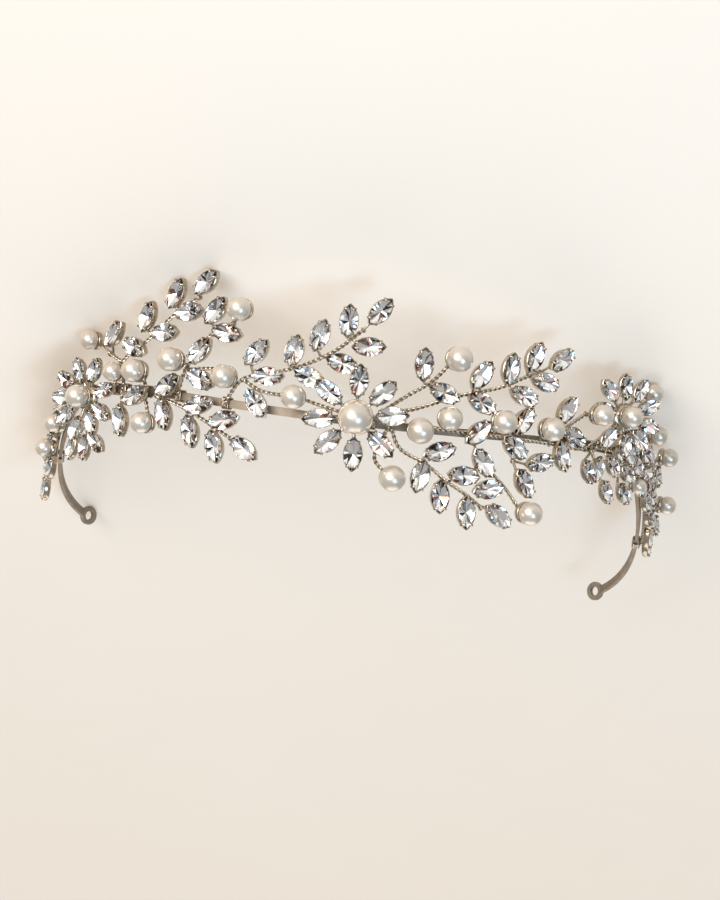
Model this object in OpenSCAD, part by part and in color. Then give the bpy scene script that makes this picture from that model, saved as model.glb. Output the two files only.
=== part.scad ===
// Rhinestone headband: a thin metal strip bent into a C, with sprigs, flowers and pearls
// wired along its outer face. It lies on its side as it would by itself, on the tip of the left
// high sprig, on the far pearl of the right flower and on the eyelet of the left end.
//
// Places on the hoop are given in three numbers. Turn is the angle round the hoop in degrees, 0 at
// the middle of the front and positive to the right as seen from there. Rise is the height in mm above the
// middle of the front. Back is how far the back of a setting or cup stands off the strip's face.

/* [Band] */
// Radius of the hoop, to the middle of the strip
hoop_r = 81; // [78:0.5:84]
// Height of the strip
band_w = 2.0; // [1.6:0.1:2.6]
// Thickness of the strip
band_t = 1.0; // [0.8:0.1:1.2]

/* [End eyelets] */
// Radius of the hole in each end eyelet
eye_hole_r = 1.35; // [1.1:0.05:1.6]
// Thickness of the eyelet's ring
eye_t = 1.3; // [1.1:0.1:1.5]

/* [Settings and stones] */
// Length of a large setting
set_l = 8.8; // [8.4:0.1:9]
// Width of a large setting
set_w = 4.9; // [4.6:0.1:5]
// Height of the setting's wall
set_h = 2.2; // [2:0.1:2.4]
// Thickness of the setting's wall
set_wall = 0.35; // [0.3:0.05:0.4]
// Size of the side flowers' and tails' settings against the large ones
side_size = 0.82; // [0.78:0.01:0.84]

/* [Wires and pearls] */
// Radius of a sprig's stem
stem_r = 0.5; // [0.45:0.05:0.55]
// Height of a pearl's cup against the pearl's diameter
cup_share = 0.25; // [0.22:0.01:0.28]
// Gap between a stone or pearl and the metal round it
seat_gap = 0.13; // [0.13:0.01:0.16]

/* [Hidden] */
$fn = 48;
METAL = [0.78, 0.72, 0.64];
CRYSTAL = [0.86, 0.89, 0.92];
PEARL = [0.95, 0.92, 0.87];

// Side view of the strip. Columns: depth behind the front in mm, slope of the left arm there in
// degrees, slope of the right arm
BENDS = [
    [-1, 7, 7],
    [35, -5, -5],
    [55, -38, -42],
    [110, -18, -19],
];
END_TURN = 109.5;
EDGE_STEP = 3;
// How the headband lies: turned over, leaned back and to the side, then moved to stand on the floor
REST_LEAN = -32.78;
REST_TILT = 2.88;
REST_MOVE = [2.76, -47.72, 34.66];

// Leaves of the sprigs and trails, one row each.
// Columns: turn, rise, direction of the outer tip in degrees (0 to the right, 90 up), back, and
// for some the turn they face, where that isn't the turn they stand at
TOP_LEAVES = [
    [-18.5, 14.0, 54, 2.0],
    [-16.0, 8.5, 6, 2.0],
    [-17.5, 1.5, -51, 2.0],
    [-12.0, 15.5, 81, 2.0],
    [-9.0, 9.5, -21, 1.5],
    [-8.0, 20.0, 76, 2.0],
    [-3.8, 13.8, -13, 1.2],
    [-3.5, 24.3, 91, 2.0],
    [0.3, 18.6, 7, 2.0],
    [1.5, 27.5, 54, 2.0],
];
HIGH_LEFT_LEAVES = [
    [-29.5, 30.0, 47, 2.0],
    [-35.5, 26.5, 67, 2.0],
    [-32.3, 22.3, 11, 2.0],
    [-41.5, 20.0, 72, 2.0],
    [-37.0, 16.5, 6, 2.0],
    [-49.5, 14.8, 49, 2.5],
    [-43.5, 12.0, -15, 2.5],
];
MID_LEFT_LEAVES = [
    [-34.8, 3.4, 216, 2.2],
    [-27.0, 23.2, 56, 2.0],
    [-24.3, 18.0, -4, 2.0],
    [-29.2, 12.8, 51, 2.0],
    [-28.6, 5.8, -21, 1.5],
];
LOW_LEFT_LEAVES = [
    [-35.2, -4.0, -68, 2.0],
    [-28.2, -0.6, 18, 2.0],
    [-29.2, -7.4, -70, 2.0],
    [-23.0, -3.6, 18, 2.0],
    [-24.2, -10.4, -71, 2.0],
    [-18.7, -10.0, -33, 2.0],
];
LEFT_TRAIL_LEAVES = [
    [-42.0, -0.2, 205, 2.5],
    [-45.0, -7.0, -75, 2.5],
];
LEFT_TAIL_LEAVES = [
    [-52.8, -13.6, -35, 1.5, -40],
    [-56.8, -15.4, -82, 1.5, -45],
    [-61.9, -15.8, -102, 1.5, -50],
    [-79.0, -13.8, 205, 1.5, -70],
    [-75.5, -22.6, 252, 1.5, -64],
    [-81.0, -28.4, 262, 1.5, -72],
    [-86.0, -21.1, 240, 1.5, -78],
    [-59.0, -0.1, 240, 1.5, -51],
    [-82.2, -17.9, 270, 2.0, -74],
    [-74.8, -10.9, 225, 2.0, -67],
    [-68.8, -5.0, 195, 2.0, -61],
    [-65.0, -2.5, 270, 2.0, -57],
    [-62.0, -1.1, 255, 2.6, -54],
    [-73.2, -5.7, 210, 1.5, -65],
    [-68.8, -0.5, 210, 1.5, -61],
];
HIGH_RIGHT_LEAVES = [
    [9.8, 16.0, 92, 2.0],
    [13.8, 9.6, -19, 2.0],
    [20.0, 15.2, 60, 2.0],
    [20.7, 8.4, -25, 1.6],
    [25.2, 17.6, 85, 2.0],
    [28.4, 11.4, -15, 2.0],
    [29.6, 21.4, 70, 2.0],
    [32.3, 15.6, -8, 2.0],
    [35.3, 21.7, 39, 2.0],
];
LOW_RIGHT_LEAVES = [
    [14.2, -4.8, 20, 2.0],
    [11.4, -11.4, -100, 2.0],
    [18.9, -10.0, -1, 2.0],
    [15.2, -15.8, -84, 2.0],
    [23.7, -12.7, 15, 2.0],
    [20.2, -19.0, -84, 2.0],
    [26.2, -19.0, -33, 2.0],
];
RIGHT_TRAIL_LEAVES = [
    [20.8, 1.0, 45, 1.5],
    [22.2, -6.3, -50, 2.0],
    [29.1, 5.2, 57, 1.5],
    [28.0, -1.5, -33, 1.5],
    [30.8, -10.2, -54, 1.5],
    [33.5, -4.6, 16, 1.5],
    [38.3, -2.3, -66, 1.5],
    [38.2, 9.4, 54, 1.5],
    [40.6, 2.8, -22, 1.5],
];
RIGHT_TAIL_LEAVES = [
    [45.2, -5.5, -60, 2.0, 40],
    [48.3, -4.6, 80, 1.5, 42],
    [52.4, -3.4, -50, 2.0, 42],
    [51.2, -10.2, -60, 2.0, 42],
    [57.4, -10.2, -48, 2.0, 46],
    [61.4, -2.6, -50, 2.2, 48],
    [65.5, 0.8, -55, 2.0, 52],
    [76.0, -4.8, -60, 2.4, 62],
    [76.0, -10.6, -55, 1.8, 64],
    [71.0, -12.0, -50, 1.8, 60],
    [79.5, -16.8, -58, 1.8, 66],
    [84.5, -18.4, -58, 2.8, 66],
    [87.0, -24.6, -58, 1.6, 74],
    [54.2, 0.6, -60, 2.0, 44],
    [58.0, 0.1, -75, 2.0, 48],
    [67.8, -4.2, 20, 2.0, 58],
    [70.8, -6.8, 20, 2.0, 61],
    [60.2, 3.3, -60, 1.5, 50],
    [76.0, -15.9, -45, 1.5, 66],
    [82.8, -22.1, -60, 1.5, 73],
    [55.0, 5.8, -30, 1.5, 45],
    [66.2, -8.5, -30, 1.5, 56],
    [69.2, 0.6, -45, 1.5, 59],
    [83.5, -13.0, 20, 1.5, 74],
    [57.2, -5.0, -30, 2.6, 47],
];

// Wires of the groups, each from the place where it starts outwards.
// Columns: turn, rise, how far the wire's middle stands off the strip's face
TOP_WIRES = [
    [[-24.0, 0.8, 1.0], [-21.0, 7.0, 1.4], [-14.5, 10.0, 1.4], [-10.5, 12.2, 1.4], [-5.5, 16.5, 1.4],
        [-1.0, 22.6, 1.4]],
    [[-21.0, 7.0, 1.4], [-17.0, 4.6, 1.4], [-11.0, 4.2, 1.4]],
];
HIGH_LEFT_WIRES = [
    [[-51.0, 0.0, 1.0], [-48.5, 8.0, 1.4], [-42.0, 14.4, 1.4], [-37.0, 20.6, 1.4], [-31.5, 26.2, 1.4]],
    [[-48.5, 8.0, 1.4], [-52.5, 9.8, 1.4]],
];
MID_LEFT_WIRES = [
    [[-34.0, 0.6, 1.0], [-32.5, 7.8, 1.4], [-28.2, 17.0, 1.4], [-24.0, 20.6, 1.4]],
    [[-32.5, 7.8, 1.4], [-26.0, 8.8, 1.4], [-23.4, 7.2, 1.4]],
];
LOW_LEFT_WIRES = [
    [[-38.5, 0.4, 1.0], [-35.0, -0.6, 1.4], [-31.0, -2.2, 1.4], [-26.0, -5.2, 1.4], [-21.8, -8.0, 1.4]],
];
LEFT_TRAIL_WIRES = [
    [[-48.0, 0.2, 1.0], [-41.5, 0.2, 1.0], [-41.0, 6.0, 1.4]],
    [[-48.0, 0.2, 1.0], [-46.5, -6.0, 1.4]],
    [[-41.5, 0.2, 1.0], [-39.5, -6.0, 1.4]],
    [[-48.0, 0.2, 1.0], [-47.3, 5.2, 1.4]],
];
HIGH_RIGHT_WIRES = [
    [[2.5, 0.4, 1.0], [4.0, 3.4, 1.4], [8.4, 4.4, 1.4], [12.5, 6.8, 1.4], [17.2, 9.6, 1.4], [24.3, 12.8, 1.4],
        [28.5, 15.8, 1.4], [32.0, 18.0, 1.4]],
    [[4.0, 3.4, 1.4], [7.3, 7.3, 1.4], [11.9, 12.3, 1.4], [15.3, 18.4, 1.4]],
];
LOW_RIGHT_WIRES = [
    [[5.5, 0.4, 1.0], [7.6, -5.2, 1.4], [12.5, -8.4, 1.4], [16.5, -12.0, 1.4], [20.4, -14.8, 1.4],
        [23.5, -17.5, 1.4]],
    [[5.5, 0.4, 1.0], [3.5, -8.2, 1.4], [6.6, -12.7, 1.4]],
    [[16.5, -12.0, 1.4], [21.5, -8.2, 1.0], [25.5, -9.4, 1.0], [31.6, -17.5, 1.4]],
];
RIGHT_TRAIL_WIRES = [
    [[10.2, 0.6, 1.0], [18.0, 0.7, 1.0], [26.5, 0.7, 1.0], [36.0, 0.4, 1.0], [43.0, 0.2, 1.0]],
    [[36.0, 0.4, 1.0], [39.0, 4.5, 1.2], [44.1, 9.2, 1.4]],
    [[26.5, 0.7, 1.0], [28.8, -5.0, 1.0]],
];
// Twigs of the tails and the wires that carry the right flower. Same columns
LEFT_TAIL_TWIGS = [[[-60.0, -0.6, 1.0], [-58.5, -10.0, 1.4]]];
RIGHT_FLOWER_WIRES = [[[45.2, 0.2, 1.0], [50.0, 4.8, 1.8], [53.0, 9.9, 3.0], [61.4, 16.9, 1.8]]];
RIGHT_TAIL_TWIGS = [[[47.0, 0.0, 1.0], [50.0, -6.0, 1.4]]];

// Round the flowers. Columns: turn, rise, back, the turn it faces, radius of the plate
CENTRE_FLOWER = [-0.5, 1.0, 4.6, -0.5, 5.3];
LEFT_FLOWER = [-53.2, -2.2, 6.2, -33, 4.1];
RIGHT_FLOWER = [52.2, 9.9, 4.6, 26, 4.1];
// Petals. Columns: direction from the hub in degrees, distance of the petal's middle from it
CENTRE_PETALS = [[9, 9], [48, 9], [91, 9], [143, 9], [188, 9], [228, 9], [273, 9], [320, 9]];
LEFT_PETALS = [
    [21, 6.6],
    [73, 7.4],
    [112, 7.2],
    [150, 7.4],
    [186, 7.2],
    [224, 7.4],
    [258, 8.6],
    [295, 7.0],
    [332, 6.8],
];
RIGHT_PETALS = [
    [25, 7.0],
    [63, 7.8],
    [99, 7.6],
    [134, 8.4],
    [172, 6.8],
    [234, 7.6],
    [276, 7.4],
    [311, 7.6],
    [346, 7.2],
];

// Pearls. Columns: name, turn, rise, back, diameter, and for the flowers the turn they face
CENTRE_BEADS = [["pearl_centre", -0.5, 1.0, 5.4, 8]];
TOP_BEADS = [["pearl_by_flower", -11.0, 4.2, 2.0, 6]];
HIGH_LEFT_BEADS = [["pearl_far_left_high", -55.5, 12.7, 2.5, 5]];
MID_LEFT_BEADS = [
    ["pearl_left_high", -22.0, 24.2, 2.0, 6],
    ["pearl_left_band", -23.4, 7.2, 2.0, 6],
    ["pearl_left_knot", -33.0, 9.8, 4.2, 6],
];
LEFT_TRAIL_BEADS = [
    ["pearl_left_trail_outer", -47.3, 5.2, 2.5, 5],
    ["pearl_left_trail_inner", -41.0, 6.0, 3.5, 6],
    ["pearl_left_low", -38.8, -6.8, 2.0, 5.5],
];
LEFT_FLOWER_BEADS = [["pearl_left_flower", -53.2, -2.2, 6.8, 6, -33]];
LEFT_TAIL_BEADS = [
    ["pearl_left_tail_upper", -70.5, -10.2, 1.5, 5],
    ["pearl_left_tail_lower", -75.5, -17.2, 1.8, 5],
];
HIGH_RIGHT_BEADS = [["pearl_right_high", 15.3, 18.4, 2.0, 6.5]];
LOW_RIGHT_BEADS = [
    ["pearl_below_flower", 6.6, -12.7, 2.0, 6.5],
    ["pearl_right_low", 31.6, -17.5, 2.0, 6],
];
RIGHT_TRAIL_BEADS = [
    ["pearl_right_band_1", 10.2, -0.3, 2.5, 6.5],
    ["pearl_right_band_2", 14.9, 3.6, 2.5, 6],
    ["pearl_right_band_3", 23.9, 4.4, 4.2, 6],
    ["pearl_right_band_4", 33.9, 4.1, 2.5, 6],
    ["pearl_right_trail", 44.6, 9.3, 3.2, 5.5],
];
RIGHT_FLOWER_BEADS = [
    ["pearl_right_flower", 52.2, 9.9, 5.2, 5.5, 26],
    ["pearl_far_right_high", 61.4, 16.9, 2.5, 5],
];
RIGHT_TAIL_BEADS = [
    ["pearl_right_tail_upper", 66.6, 6.1, 2.5, 5],
    ["pearl_right_tail_middle", 74.5, 0.6, 3.4, 5],
    ["pearl_right_tail_lower", 80.5, -12.4, 3.6, 5],
    ["pearl_right_tail_inner", 62.0, -7.8, 1.5, 4],
];
BEADS = concat(CENTRE_BEADS, TOP_BEADS, HIGH_LEFT_BEADS, MID_LEFT_BEADS, LEFT_TRAIL_BEADS, LEFT_FLOWER_BEADS,
    LEFT_TAIL_BEADS, HIGH_RIGHT_BEADS, LOW_RIGHT_BEADS, RIGHT_TRAIL_BEADS, RIGHT_FLOWER_BEADS,
    RIGHT_TAIL_BEADS);

// The eyelets
eye_rim_r = 2 * eye_hole_r;
eye_bevel = 0.35;
eye_reach = 0.5 * (eye_hole_r + eye_rim_r);
EYE_FACES = 140;

// The sleeves that wrap the strip and carry the wires
wrap_gap = 0.2;
wrap_wall = 0.5;
wrap_l = 2.2;

// The wires. A stalk is the short wire from a setting or cup to the wire that carries it
knot_r = 0.72;
stalk_r = 0.42;
stalk_bite = 0.05;
shortest_stalk = 0.3;
STALK_SHARE = 0.36;
RUN_OUT = 1.0;

// The pearls' cups
bead_floor = 0.6;
bead_wall = 0.35;

// The flowers' plates, pedestals, spokes and posts
plate_drop = 0.35;
plate_t = 0.55;
pedestal_r = 1.7;
pedestal_drop = 0.8;
pedestal_h = 1.8;
spoke_inset = 0.9;
spoke_drop = 0.1;
post_r = 0.7;
post_drop = 0.4;

// The stones in their settings, and the shares of the girdle that the table and the base take
floor_h = 0.4;
crown_h = 0.6;
girdle_drop = 0.25;
base_gap = 0.15;
TABLE_SHARE = 0.55;
BASE_SHARE = 0.4;

small = side_size;
face_r = hoop_r + band_t / 2;

// Rise of the strip over the depth y, on the right arm (side 2) or the left (side 1)
function bend_r(i, side) = (BENDS[i + 1][0] - BENDS[i][0]) / (sin(BENDS[i][side]) - sin(BENDS[i + 1][side]));
function start_rise(i, side) = i == 0
    ? 0
    : start_rise(i - 1, side) + bend_r(i - 1, side) * (cos(BENDS[i][side]) - cos(BENDS[i - 1][side]));
function stretch_of(y, i = 0) = i == len(BENDS) - 2 || y < BENDS[i + 1][0] ? i : stretch_of(y, i + 1);
function sine_at(y, side) = let (i = stretch_of(y)) sin(BENDS[i][side]) - (y - BENDS[i][0]) / bend_r(i, side);
function sheet_rise(y, side) = let (i = stretch_of(y), s = sine_at(y, side))
    start_rise(i, side) + bend_r(i, side) * (sqrt(1 - s * s) - cos(BENDS[i][side]));
function side_of(turn) = turn < 0 ? 1 : 2;
function depth_at(turn) = hoop_r * (1 - cos(turn));
function strip_rise(turn) = sheet_rise(depth_at(turn), side_of(turn)) - sheet_rise(0, 1);
function strip_slope(turn) = let (s = sine_at(depth_at(turn), side_of(turn)))
    atan(s / sqrt(1 - s * s) * sin(turn));

// Places and directions on the hoop's wall
function on_wall(turn, rise, out) = [(face_r + out) * sin(turn), hoop_r - (face_r + out) * cos(turn), rise];
function along(turn, point) = [cos(turn) * cos(point), sin(turn) * cos(point), sin(point)];
function outward(turn) = [sin(turn), -cos(turn), 0];

// Seats of leaves and petals. Columns: place of the back's middle, turn it faces, direction
function seats(leaves) = [
    for (v = leaves) [on_wall(v[0], v[1], v[3]), is_undef(v[4]) ? v[0] : v[4], v[2]]
];
function petal(flower, p) = [
    on_wall(flower[0], flower[1], flower[2]) + p[1] * along(flower[3], p[0]),
    flower[3],
    p[0],
];
function petals(flower, rows) = [for (p = rows) petal(flower, p)];
function faces(b) = is_undef(b[5]) ? b[1] : b[5];
function seat_point(s, x, y, z) = s[0] + x * along(s[1], s[2]) + y * along(s[1], s[2] + 90) + z * outward(s[1]);
// Where a leaf's stalk leaves it: inside the floor, near the inner tip
function stem_end(s, size) = seat_point(s, -STALK_SHARE * set_l * size, 0, stalk_bite);

// Nearest place on a wire to a point
function on_rod(p, a, b) = let (k = (p - a) * (b - a) / ((b - a) * (b - a))) a + min(max(k, 0), 1) * (b - a);
function places(wire) = [for (w = wire) on_wall(w[0], w[1], w[2])];
function rods(wires) = [for (w = wires) let (q = places(w)) for (i = [0 : len(q) - 2]) [q[i], q[i + 1]]];
function landings(p, wires) = [for (r = rods(wires)) on_rod(p, r[0], r[1])];
function closest(p, spots, i = 0, best = 0) = i == len(spots)
    ? spots[best]
    : closest(p, spots, i + 1, norm(spots[i] - p) < norm(spots[best] - p) ? i : best);

// One cut stone: rings of eight corners for the table, the girdle and the base
CORNERS = 8;
lens_r = (set_l * set_l + set_w * set_w) / (4 * set_w);
lens_shift = lens_r - set_w / 2;
stone_r = lens_r - set_wall - seat_gap;
stone_half = sqrt(stone_r * stone_r - lens_shift * lens_shift);
function corner(k) = let (
        q = k % 4,
        x = stone_half * cos(45 * q),
        y = q == 0 ? 0 : sqrt(stone_r * stone_r - x * x) - lens_shift
    ) k < 4 ? [x, y] : [-x, -y];
function ring(s, size, share, z) = [
    for (k = [0 : CORNERS - 1]) let (c = corner(k) * share * size) seat_point(s, c[0], c[1], z * size)
];
function stone_points(s, size) = concat(
    ring(s, size, TABLE_SHARE, set_h + crown_h),
    ring(s, size, 1, set_h - girdle_drop),
    ring(s, size, BASE_SHARE, floor_h + base_gap)
);
function band_of(first, second) = [
    for (k = [0 : CORNERS - 1]) let (n = (k + 1) % CORNERS) [first + k, first + n, second + n, second + k]
];
function stone_faces(o) = concat(
    [[for (k = [CORNERS - 1 : -1 : 0]) o + k]],
    band_of(o, o + CORNERS),
    band_of(o + CORNERS, o + 2 * CORNERS),
    [[for (k = [0 : CORNERS - 1]) o + 2 * CORNERS + k]]
);

// A wire that follows the strip, one place every few degrees
function strip_wire(from, to, step = 4) = [
    for (t = [from : (to > from ? step : -step) : to]) [t, strip_rise(t), RUN_OUT]
];
LEFT_TAIL_WIRES = concat([strip_wire(-60, -84)], LEFT_TAIL_TWIGS);
RIGHT_TAIL_WIRES = concat([strip_wire(48, 86, 4.75)], RIGHT_TAIL_TWIGS);
CENTRE_POST = [[-0.5, 0, RUN_OUT], [-0.5, 0.6, 2.4]];
LEFT_POST = [[-55.5, strip_rise(-55.5), RUN_OUT], [-55.0, -1.2, 2.4]];

module stones(seats, size = 1) {
    polyhedron(
        points = [for (s = seats) each stone_points(s, size)],
        faces = [for (i = [0 : len(seats) - 1]) each stone_faces(3 * CORNERS * i)]
    );
}

// How the headband lies on the floor
module laid() {
    translate(REST_MOVE) rotate([REST_LEAN, REST_TILT, 0]) rotate([0, 180, 0]) children();
}

module lens(inset = 0) {
    intersection_for (side = [-1, 1]) {
        translate([0, side * lens_shift]) circle(r = lens_r - inset);
    }
}

module cup() {
    difference() {
        linear_extrude(set_h) lens();
        translate([0, 0, floor_h]) linear_extrude(set_h) lens(set_wall);
    }
}

module at_seat(s) {
    translate(s[0]) rotate([90, 0, s[1]]) rotate([0, 0, s[2]]) children();
}

module rod(a, b, r) {
    d = b - a;
    if (norm(d) > shortest_stalk) {
        translate(a) rotate([0, acos(d[2] / norm(d)), atan2(d[1], d[0])]) cylinder(r = r, h = norm(d));
    }
}

// A stalk from a setting to the nearest place on the wires
module stalk(p, wires) {
    rod(p, closest(p, landings(p, wires)), stalk_r);
}

module twisted(wires) {
    for (w = wires) {
        q = places(w);
        for (i = [0 : len(q) - 2]) {
            step = (q[i + 1] - q[i]) * knot_r / (4 * norm(q[i + 1] - q[i]));
            rod(q[i] + step, q[i + 1] - step, stem_r);
        }
        for (p = q) {
            translate(p) sphere(r = knot_r);
        }
    }
}

// A sleeve of wound wire that holds on to the strip
module wrap(turn) {
    inside = [wrap_l + 1, band_w + 2 * wrap_gap, band_t + 2 * wrap_gap];
    outside = [wrap_l, inside[1] + 2 * wrap_wall, inside[2] + 2 * wrap_wall];
    translate(on_wall(turn, strip_rise(turn), -band_t / 2)) rotate([90, 0, turn]) rotate([0, 0, strip_slope(turn)])
        difference() {
            cube(outside, center = true);
            cube(inside, center = true);
        }
}

module bead_cup(b) {
    r = b[4] / 2;
    h = cup_share * b[4];
    hollow_r = r + seat_gap;
    drop = bead_floor + r - h;
    translate(on_wall(b[1], b[2], b[3])) rotate([90, 0, faces(b)])
        difference() {
            cylinder(r = sqrt(hollow_r * hollow_r - drop * drop) + bead_wall, h = h);
            translate([0, 0, bead_floor + r]) sphere(r = hollow_r);
        }
}

module bead(b) {
    color(PEARL) laid() translate(on_wall(b[1], b[2], b[3]) + (bead_floor + b[4] / 2) * outward(faces(b)))
        sphere(d = b[4]);
}

// Settings, pearl cups, wires and sleeves of one group
module metal(seats, beads, wires, wraps, size = 1) {
    color(METAL) laid() {
        for (s = seats) {
            at_seat(s) scale(size) cup();
            stalk(stem_end(s, size), wires);
        }
        for (b = beads) {
            bead_cup(b);
            stalk(on_wall(b[1], b[2], b[3]) + 2 * stalk_bite * outward(faces(b)), wires);
        }
        twisted(wires);
        for (t = wraps) {
            wrap(t);
        }
    }
}

// A flower: petals held on a plate by spokes, the plate on a post that stands on its sleeve
module flower_metal(flower, rows, beads, wires, wraps, size = 1) {
    hub = on_wall(flower[0], flower[1], flower[2]);
    outer = outward(flower[3]);
    color(METAL) laid() {
        for (p = rows) {
            s = petal(flower, p);
            at_seat(s) scale(size) cup();
            spoke_start = hub + (flower[4] - spoke_inset) * along(flower[3], p[0]) - spoke_drop * outer;
            rod(spoke_start, stem_end(s, size), stalk_r);
        }
        for (b = beads) {
            bead_cup(b);
        }
        translate(hub) rotate([90, 0, flower[3]]) {
            translate([0, 0, -plate_drop]) cylinder(r = flower[4], h = plate_t);
            translate([0, 0, -pedestal_drop]) cylinder(r = pedestal_r, h = pedestal_h);
        }
        twisted(wires);
        rod(closest(hub, landings(hub, wires)), hub - post_drop * outer, post_r);
        for (t = wraps) {
            wrap(t);
        }
    }
}

module gems(seats, size = 1) {
    color(CRYSTAL) laid() stones(seats, size);
}

// Side view of one arm of the strip: its upper edge from front to back, then its lower edge
function edge_point(y, side, up) = let (s = sine_at(y, side), h = up * band_w / 2)
    [y - s * h, sheet_rise(y, side) - sheet_rise(0, side) + sqrt(1 - s * s) * h];
function edge(side, up) = [for (y = [BENDS[0][0] : EDGE_STEP : 2 * hoop_r]) edge_point(y, side, up)];
function turned_round(list) = [for (i = [len(list) - 1 : -1 : 0]) list[i]];

// One arm: a round wall cut by the sheet that its side view makes
module arm(side) {
    intersection() {
        translate([0, hoop_r, -hoop_r / 2])
            rotate_extrude(angle = END_TURN, start = side == 1 ? -90 - END_TURN : -90)
                translate([hoop_r, hoop_r / 2]) square([band_t, 2 * hoop_r], center = true);
        translate([side == 1 ? -2 * hoop_r : 0, 0, 0])
            rotate([90, 0, 90])
                linear_extrude(2 * hoop_r) polygon(concat(edge(side, 1), turned_round(edge(side, -1))));
    }
}

module eyelet(turn) {
    facing = turn < 0 ? 180 - EYE_FACES : EYE_FACES;
    translate(on_wall(turn, strip_rise(turn), -band_t / 2))
        rotate([0, 0, facing])
            translate([eye_reach, 0, -eye_reach / 3])
                rotate([90, 0, 0])
                    rotate_extrude()
                        polygon([
                            [eye_hole_r - eye_bevel, -eye_t / 2],
                            [eye_rim_r - eye_bevel, -eye_t / 2],
                            [eye_rim_r, -eye_t / 2 + eye_bevel],
                            [eye_rim_r, eye_t / 2 - eye_bevel],
                            [eye_rim_r - eye_bevel, eye_t / 2],
                            [eye_hole_r - eye_bevel, eye_t / 2],
                        ]);
}

module eyelet_hole(turn) {
    facing = turn < 0 ? 180 - EYE_FACES : EYE_FACES;
    translate(on_wall(turn, strip_rise(turn), -band_t / 2))
        rotate([0, 0, facing])
            translate([eye_reach, 0, -eye_reach / 3])
                rotate([90, 0, 0])
                    cylinder(r = eye_hole_r, h = 4 * eye_t, center = true);
}

module band() {
    color(METAL) laid() difference() {
        union() {
            arm(1);
            arm(2);
            eyelet(-END_TURN);
            eyelet(END_TURN);
        }
        eyelet_hole(-END_TURN);
        eyelet_hole(END_TURN);
    }
}

// Flowers
module centre_flower_metal() {
    flower_metal(CENTRE_FLOWER, CENTRE_PETALS, CENTRE_BEADS, [CENTRE_POST], [-0.5]);
}
module centre_flower_stones() {
    gems(petals(CENTRE_FLOWER, CENTRE_PETALS));
}
module left_flower_metal() {
    flower_metal(LEFT_FLOWER, LEFT_PETALS, LEFT_FLOWER_BEADS, [LEFT_POST], [-55.5], small);
}
module left_flower_stones() {
    gems(petals(LEFT_FLOWER, LEFT_PETALS), small);
}
module right_flower_metal() {
    flower_metal(RIGHT_FLOWER, RIGHT_PETALS, RIGHT_FLOWER_BEADS, RIGHT_FLOWER_WIRES, [45.2], small);
}
module right_flower_stones() {
    gems(petals(RIGHT_FLOWER, RIGHT_PETALS), small);
}

// Sprigs and trails
module top_sprig_metal() {
    metal(seats(TOP_LEAVES), TOP_BEADS, TOP_WIRES, [-24]);
}
module top_sprig_stones() {
    gems(seats(TOP_LEAVES));
}
module left_high_sprig_metal() {
    metal(seats(HIGH_LEFT_LEAVES), HIGH_LEFT_BEADS, HIGH_LEFT_WIRES, [-51]);
}
module left_high_sprig_stones() {
    gems(seats(HIGH_LEFT_LEAVES));
}
module left_mid_sprig_metal() {
    metal(seats(MID_LEFT_LEAVES), MID_LEFT_BEADS, MID_LEFT_WIRES, [-34]);
}
module left_mid_sprig_stones() {
    gems(seats(MID_LEFT_LEAVES));
}
module left_low_sprig_metal() {
    metal(seats(LOW_LEFT_LEAVES), [], LOW_LEFT_WIRES, [-38.5]);
}
module left_low_sprig_stones() {
    gems(seats(LOW_LEFT_LEAVES));
}
module left_trail_metal() {
    metal(seats(LEFT_TRAIL_LEAVES), LEFT_TRAIL_BEADS, LEFT_TRAIL_WIRES, [-48, -42]);
}
module left_trail_stones() {
    gems(seats(LEFT_TRAIL_LEAVES));
}
module left_tail_metal() {
    metal(seats(LEFT_TAIL_LEAVES), LEFT_TAIL_BEADS, LEFT_TAIL_WIRES, [-60, -84], small);
}
module left_tail_stones() {
    gems(seats(LEFT_TAIL_LEAVES), small);
}
module right_high_sprig_metal() {
    metal(seats(HIGH_RIGHT_LEAVES), HIGH_RIGHT_BEADS, HIGH_RIGHT_WIRES, [2.5]);
}
module right_high_sprig_stones() {
    gems(seats(HIGH_RIGHT_LEAVES));
}
module right_low_sprig_metal() {
    metal(seats(LOW_RIGHT_LEAVES), LOW_RIGHT_BEADS, LOW_RIGHT_WIRES, [5.5]);
}
module right_low_sprig_stones() {
    gems(seats(LOW_RIGHT_LEAVES));
}
module right_trail_metal() {
    metal(seats(RIGHT_TRAIL_LEAVES), RIGHT_TRAIL_BEADS, RIGHT_TRAIL_WIRES, [10.2, 43]);
}
module right_trail_stones() {
    gems(seats(RIGHT_TRAIL_LEAVES));
}
module right_tail_metal() {
    metal(seats(RIGHT_TAIL_LEAVES), RIGHT_TAIL_BEADS, RIGHT_TAIL_WIRES, [48, 86], small);
}
module right_tail_stones() {
    gems(seats(RIGHT_TAIL_LEAVES), small);
}

/* [Output] */
// Piece to draw

/* [Hidden] */

band();
centre_flower_metal();
centre_flower_stones();
top_sprig_metal();
top_sprig_stones();
left_high_sprig_metal();
left_high_sprig_stones();
left_mid_sprig_metal();
left_mid_sprig_stones();
left_low_sprig_metal();
left_low_sprig_stones();
left_trail_metal();
left_trail_stones();
left_flower_metal();
left_flower_stones();
left_tail_metal();
left_tail_stones();
right_high_sprig_metal();
right_high_sprig_stones();
right_low_sprig_metal();
right_low_sprig_stones();
right_trail_metal();
right_trail_stones();
right_flower_metal();
right_flower_stones();
right_tail_metal();
right_tail_stones();
for (b = BEADS) {
    bead(b);
}
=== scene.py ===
"""Looks of the rhinestone headband: cut stones, claws, twisted wires, pearls, floor, light, camera.

Every piece is made in the upright hoop's own frame, in millimetres, and laid down at the end.
Turn is the angle round the hoop in degrees, rise the height, out the distance from the strip's face.
"""
import math
import random

import bpy
import numpy as np
from mathutils import Matrix, Vector


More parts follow.
